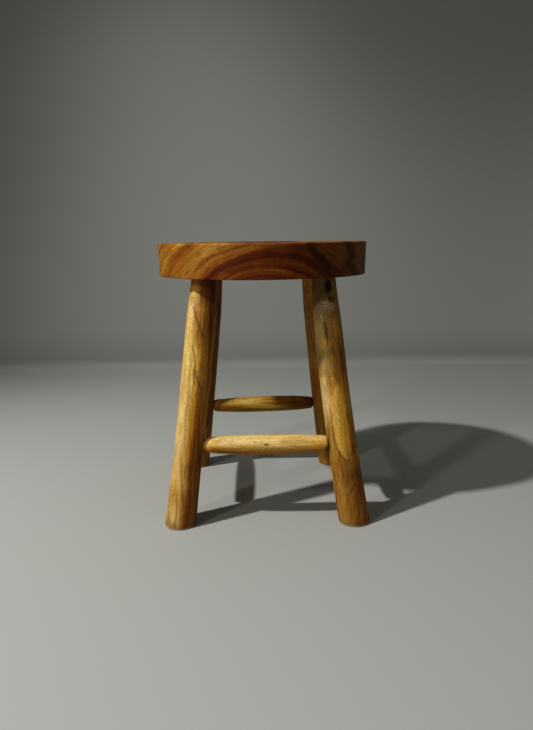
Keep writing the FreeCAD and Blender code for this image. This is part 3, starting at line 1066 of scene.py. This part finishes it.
def mark_front_left(wood):
    """Painted shade, browner and redder, on the side away from the light and darkest towards and under the
    seat, with a paler painted sheen down the lit side.
    """
    # painted shade: darker, then redder, on the side away from the light
    wood.shade(wood.rise(wood.scaled(wood.streak, 12, wood.x), 4, 24), -0.35)
    wood.glaze(wood.band(edge=(-3, 7)), (1.04, 0.84, 0.5))
    # painted shade that moves the edge of the light leftwards near the top
    wood.glaze(wood.band(edge=(-6, -1), z=(235, 275)), (0.6, 0.44, 0.24), 0.8)
    # painted shade towards and under the seat, warmer where the seat's shadow falls
    wood.glaze(wood.band(edge=(-2, 4), z=(296, 315)), (0.45, 0.3, 0.16), 0.85)
    wood.glaze(wood.band(z=(316, 321)), (1.08, 0.86, 0.6))
    wood.glaze(wood.band(edge=(2, -4), z=(268, 282)), (0.9, 0.78, 0.62), 0.8)
    # a paler painted sheen down the lit side
    lit = wood.rise(wood.scaled(wood.streak, 10, wood.x), 6, -2)
    lit = wood.overlap(lit, wood.band(z=(225, 190)), wood.band(z=(50, 75)))
    wood.tint(lit, (0.66, 0.51, 0.27), 0.22)
    wood.glaze(wood.band(x=(-2, 6), z=(150, 100)), (0.82, 0.7, 0.6), 0.9)
    wood.glaze(wood.band(x=(-9, -3), z=(190, 160)), (0.87, 0.88, 0.9), 0.9)
    wood.glaze(wood.band(z=(62, 44)), (0.82, 0.8, 0.84), 0.9)


# each row: place round and along the leg, half sizes, what spot needs for the edge, colour and amount
FRONT_RIGHT_SPOTS = [
    ((-3, 297), (13, 9, 7), (0.5, 0.3, 0.25, 1), PALE_GREY, 0.45),
    ((-25, 172), (6, 9, 34), (0.5, 0.3, 0.2), PALE_BARK, 0.6),
    ((-21, 182), (3.2, 8, 30), (0.5, 0.5, 0.35), (0.62, 0.46, 0.23), 0.65),
    ((-24, 188), (1.5, 7, 9), (0.3, 0.5, 0.6, 2), (0.16, 0.1, 0.04), 0.7),
    ((3, 325), (6, 7, 12), (0.35, 0.25, 0.2), NEAR_BLACK, 0.97),
    ((6, 306), (5, 7, 4), (0.35, 0.3, 0.25), NEAR_BLACK, 0.7),
]
FRONT_RIGHT_GLAZES = [
    ((6, 284), (3.5, 9, 5), (0.6, 0.4, 0.3, 1), (0.6, 0.55, 0.45), 0.7),
    ((7, 240), (3, 9, 16), (0.6, 0.4, 0.3), (0.66, 0.6, 0.5), 0.7),
    # the last three rows: painted light over the seat's shadow edge, painted shade just below it, and more
    # painted light above it
    ((-11, 245), (11, 9, 10), (0.7, 0.25, 0.2), (1.55, 1.48, 1.36), 0.9),
    ((-4, 228), (12, 9, 11), (0.6, 0.25, 0.2), (0.8, 0.79, 0.76), 0.9),
    ((2, 258), (9, 12, 28), (0.6, 0.3, 0.2), (1.75, 1.8, 1.3), 0.9),
]


def mark_front_right(wood):
    """The grey weathered top with its knot and checks, the bark-pale streak and the golden tongue; painted
    light and shade soften the seat's shadow edge, and a redder painted shade lies on the side away from the
    light.
    """
    tongue = wood.scaled(wood.grain, 2, wood.math("SUBTRACT", wood.attribute("tongue"), 1))
    inside = wood.rise(tongue, -0.2, 0.8)
    outside = wood.rise(tongue, 0.2, -0.6)
    wood.shade(wood.overlap(inside, wood.band(z=(208, 150))), 0.2)
    wood.tint(wood.overlap(inside, wood.band(z=(215, 150))), (0.5, 0.28, 0.04), 0.5)
    wood.glaze(wood.band(x=(-12, 0), z=(92, 66)), (0.62, 0.52, 0.35), 0.85)
    wood.glaze(wood.overlap(inside, wood.band(x=(-8, -2))), (0.88, 0.84, 0.68), 0.9)
    wood.glaze(wood.band(z=(96, 84)), (0.86, 0.78, 0.66), 0.9)
    wood.glaze(wood.overlap(outside, wood.band(z=(222, 206))), (0.84, 0.86, 0.8), 0.9)
    edge = wood.spot(on_leg(-22, 122), (7, 9, 30), 0.5, 0.3, 0.2)
    wood.glaze(wood.overlap(outside, edge), (0.62, 0.52, 0.42), 0.8)
    wood.tint(wood.rise(wood.scaled(wood.streak, 90, wood.z), 240, 320), OLIVE, 0.7)
    olive = wood.rise(wood.scaled(wood.streak, 60, wood.z), 190, 250)
    wood.shade(wood.overlap(olive, wood.rise(tongue, 0.2, -1)), -0.18)
    # painted light: a paler, warmer strip down the left edge, where the seat's shadow falls
    left = wood.rise(wood.scaled(wood.thread, 6, wood.x), 0, -10)
    left = wood.overlap(left, wood.band(z=(196, 226)), wood.band(z=(305, 262)))
    wood.tint(left, (0.6, 0.4, 0.14), 0.75)
    # painted shade: a redder colour on the side away from the light
    wood.glaze(wood.band(edge=(-2, 9)), (1.04, 0.85, 0.5))
    mottle = wood.rise(wood.figure(1.3, 0.22), 0.5, 0.62)
    wood.tint(wood.overlap(mottle, wood.band(z=(262, 290))), PALE_GREY, 0.4)
    for mark, size, edge, colour, amount in FRONT_RIGHT_SPOTS:
        wood.tint(wood.spot(on_leg(*mark), size, *edge), colour, amount)
    wood.tint(wood.stroke("scratch", 1.2, 0.9, 0.9), (0.5, 0.41, 0.26), 0.55)
    wood.tint(wood.spot(on_leg(-8, 266), (1.3, 9, 11), 0.4, 0.3, 0.5), (0.05, 0.025, 0.006), 0.8)
    for mark, size, edge, colour, amount in FRONT_RIGHT_GLAZES:
        wood.glaze(wood.spot(on_leg(*mark), size, *edge), colour, amount)
    # painted shade so the pool of light below the seat's shadow edge fades out
    fade = wood.rise(wood.scaled(wood.grain, 16, wood.z), 206, 226)
    wood.glaze(wood.overlap(fade, wood.band(z=(272, 236))), (0.6, 0.6, 0.54), 0.9)


STRETCHER_LOOKS = {
    "front": dict(pith=(14, 20), tilt=(0.02, 0.05), bias=0.30),
    "back": dict(pith=(12, 18), tilt=(-0.04, 0.03), bias=-0.02),
    "left": dict(pith=(-14, 18), tilt=(0.03, 0.04), bias=0.1),
    "right": dict(pith=(16, -14), tilt=(0.05, -0.02), bias=0.05),
}


def stretcher_wood(place):
    wood = Wood(f"stretcher_wood_{place}", HONEY_TONES, ring=4, wander=6, strata=1.1, blotches=0.6, lines=0.2,
                **STRETCHER_LOOKS[place])
    if place == "front":
        wood.glaze(1, (1, 0.96, 0.84))
        # painted shade: redder towards the underside
        wood.glaze(wood.band(x=(-5, 2)), (0.97, 0.86, 0.64))
        # painted light on the left nose, which lies in the leg's shadow
        wood.glaze(wood.band(z=(-66, -84)), (1.45, 1.42, 1.2), 0.8)
        # painted shade on the underside
        wood.glaze(wood.band(x=(-2, 6)), (0.72, 0.52, 0.26), 0.85)
        wood.tint(wood.spot((-3, -12.5, 0), (1.9, 4, 2.8), 0.6, 0.4, 0.4), (0.06, 0.022, 0.004), 0.8)
        # near-black painted shade in the gap where the right end meets the leg
        wood.tint(wood.spot((6, -9, 83), (5, 8, 2.2), 0.4, 0.2, 0.3, 1), NEAR_BLACK, 0.75)
    if place == "back":
        wood.shade(wood.band(z=(10, 60)), -0.15)
        wood.glaze(1, (0.8, 0.86, 0.76))
    return wood.finish()


def wedge_wood(place):
    tones = [(stop, tuple(part * WEDGE_DARKENING for part in colour)) for stop, colour in RUSSET_TONES]
    wood = Wood(f"wedge_wood_{place}", tones, pith=(30, 9), ring=1.6, wander=2)
    return wood.finish(rough=(0.55, 0.75), coat=0)


# -------- camera, lights and studio

# the camera's turns are in radians, its lens and sensor in millimetres
CAMERA_PLACE = Vector((-0.0165, -0.9526, 0.3864))
CAMERA_HEADING = 0.0218
CAMERA_PITCH = 0.1959
CAMERA_ROLL = -0.0123
CAMERA_LENS = 31.8
CAMERA_SENSOR = 36
# name, place, target, diameter, power in watts and cone in degrees
LIGHTS = [
    ("key", (-1.51, -0.77, 2.12), (-0.1, -0.35, 0), 0.11, 280, 76),
    ("front_fill", (-1.55, -1.72, 1.5), (0, 0, 0), 0.2, 46, 70),
    ("wall_wash", (-0.2, 0.24, 0.98), (-0.2, 1.03, 0.62), 0.3, 6.5, 90),
]
COVE_CENTRE = Vector((0, -0.11, 0))
COVE_HALF = 1.14
COVE_HEIGHT = 1.3
COVE_BEND = 0.09
COVE_SQUARENESS = 7
COVE_SEGMENTS = 192
PAINT = (0.302, 0.305, 0.285)
BEND_PAINTED_SHADE = (0.19, 0.192, 0.18)
BEND_PAINTED_SHADE_SHARE = 0.95
SKY = (0.285, 0.289, 0.272, 1)


def make_camera():
    """The photograph's view: a little above the seat, looking slightly down."""
    data = bpy.data.cameras.new("camera")
    data.lens = CAMERA_LENS
    data.sensor_width = CAMERA_SENSOR
    turn = Matrix.Rotation(-CAMERA_HEADING, 4, "Z")
    turn = turn @ Matrix.Rotation(math.pi / 2 - CAMERA_PITCH, 4, "X") @ Matrix.Rotation(CAMERA_ROLL, 4, "Z")
    bpy.context.scene.camera = make_object("camera", data, Matrix.Translation(CAMERA_PLACE) @ turn)


def make_light(name, place, target, size, power, cone):
    """A spotlight with a soft-edged pool of light."""
    data = bpy.data.lights.new(name, "SPOT")
    data.shadow_soft_size = size / 2
    data.energy = power
    data.spot_size = math.radians(cone)
    data.spot_blend = 1
    turn = (Vector(target) - Vector(place)).to_track_quat("-Z", "Y").to_matrix().to_4x4()
    make_object(name, data, Matrix.Translation(place) @ turn)


def make_studio():
    """A pale floor that bends up into walls all round, a rounded square in plan and open above, with painted
    shade along the bend.
    """
    bend = COVE_BEND / COVE_HALF
    profile = [(0.3, 0), (0.6, 0), (0.8, 0), (1 - bend, 0)]
    for turn in steps(0, math.pi / 2, math.pi / 16):
        profile.append((1 - bend * (1 - math.sin(turn)), COVE_BEND * (1 - math.cos(turn))))
    profile.append((1, COVE_HEIGHT))
    shell = bmesh.new()
    rows = []
    for reach, height in profile:
        row = []
        for number in range(COVE_SEGMENTS):
            angle = FULL_TURN * number / COVE_SEGMENTS
            square = abs(math.cos(angle)) ** COVE_SQUARENESS + abs(math.sin(angle)) ** COVE_SQUARENESS
            radius = reach * COVE_HALF / square ** (1 / COVE_SQUARENESS)
            row.append(shell.verts.new(COVE_CENTRE + Vector(round_point(radius, height, angle))))
        rows.append(row)
    shell.faces.new(rows[0])
    for lower, upper in zip(rows, rows[1:]):
        bridge(shell, upper, lower)
    mesh = make_mesh("studio", shell)
    mesh.shade_smooth()
    graph = Graph("studio")
    height = graph.split(graph.object_place())[2]
    # painted shade along the bend between floor and walls
    bend = graph.overlap(graph.rise(height, 0.11, 0.02), graph.rise(height, -0.002, 0.028))
    paint_with_shade = graph.mix(graph.math("MULTIPLY", bend, BEND_PAINTED_SHADE_SHARE), PAINT, BEND_PAINTED_SHADE)
    mesh.materials.append(graph.surface({"Base Color": paint_with_shade, "Roughness": 0.85, "Specular IOR Level": 0.2}))
    studio = make_object("studio", mesh, Matrix.Identity(4))
    studio.visible_shadow = False


def make_world():
    """An even grey light from above and all round."""
    world = bpy.data.worlds.new("studio")
    world.use_nodes = True
    background = world.node_tree.nodes["Background"]
    background.inputs["Color"].default_value = SKY
    background.inputs["Strength"].default_value = 1
    scene = bpy.context.scene
    scene.world = world
    scene.view_settings.view_transform = "Standard"
    scene.view_settings.look = "Medium High Contrast"


# -------- the scene

make_camera()
make_world()
for light in LIGHTS:
    make_light(*light)
make_studio()
seat = make_seat()
mark_seat(seat)
finish_piece(seat, seat_wood(), "seat_wood", "seat")
for place in LEG_PLACES:
    leg = make_leg(place)
    mark_leg(leg, place)
    finish_piece(leg, leg_wood(place), "leg_wood", f"leg_{place}")
    wedge = wedge_skin(place, 0, -WEDGE_INSET, WEDGE_PROUD)
    finish_piece(wedge, wedge_wood(place), "wedge_wood", f"wedge_{place}")
for place in STRETCHER_SHAPES:
    finish_piece(make_stretcher(place), stretcher_wood(place), "stretcher_wood", f"stretcher_{place}")
